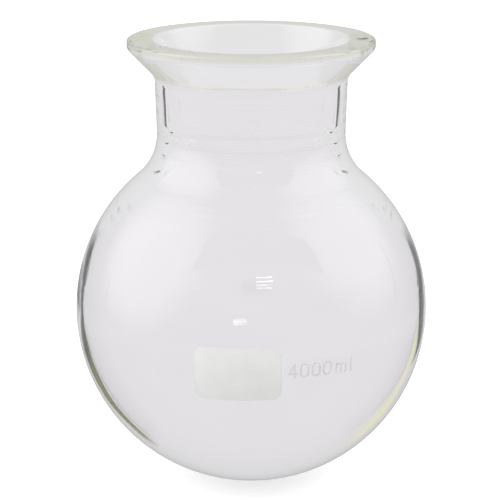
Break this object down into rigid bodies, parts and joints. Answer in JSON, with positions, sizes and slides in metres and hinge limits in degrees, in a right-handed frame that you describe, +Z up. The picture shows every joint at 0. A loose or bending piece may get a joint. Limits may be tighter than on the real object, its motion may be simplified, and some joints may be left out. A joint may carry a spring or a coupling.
{
  "type": "round bottom flask",
  "caption": "Spherical clear glass vessel with a short wide neck, a flat ground flange over a cone, a white enamel writing patch and a capacity mark.",
  "frame": {"origin": "on the flask's axis, at the lowest point of the round bottom", "axes": "+Z up along the flask's axis towards the mouth, -Y towards the side with the writing patch and the capacity mark"},
  "size_m": [0.207, 0.2071, 0.2633],
  "materials": {
    "clear_glass": "polished, clear",
    "flange_glass": "polished, with a ground top face, faintly yellow-green",
    "white_enamel": "satin, fired on",
    "mark_enamel": "satin, fired on"
  },
  "bodies": {
    "flask": {"bulb": "clear_glass", "fused_joint": "clear_glass", "flange": "flange_glass", "writing_patch": "white_enamel", "capacity_mark": "mark_enamel"}
  },
  "joints": []
}
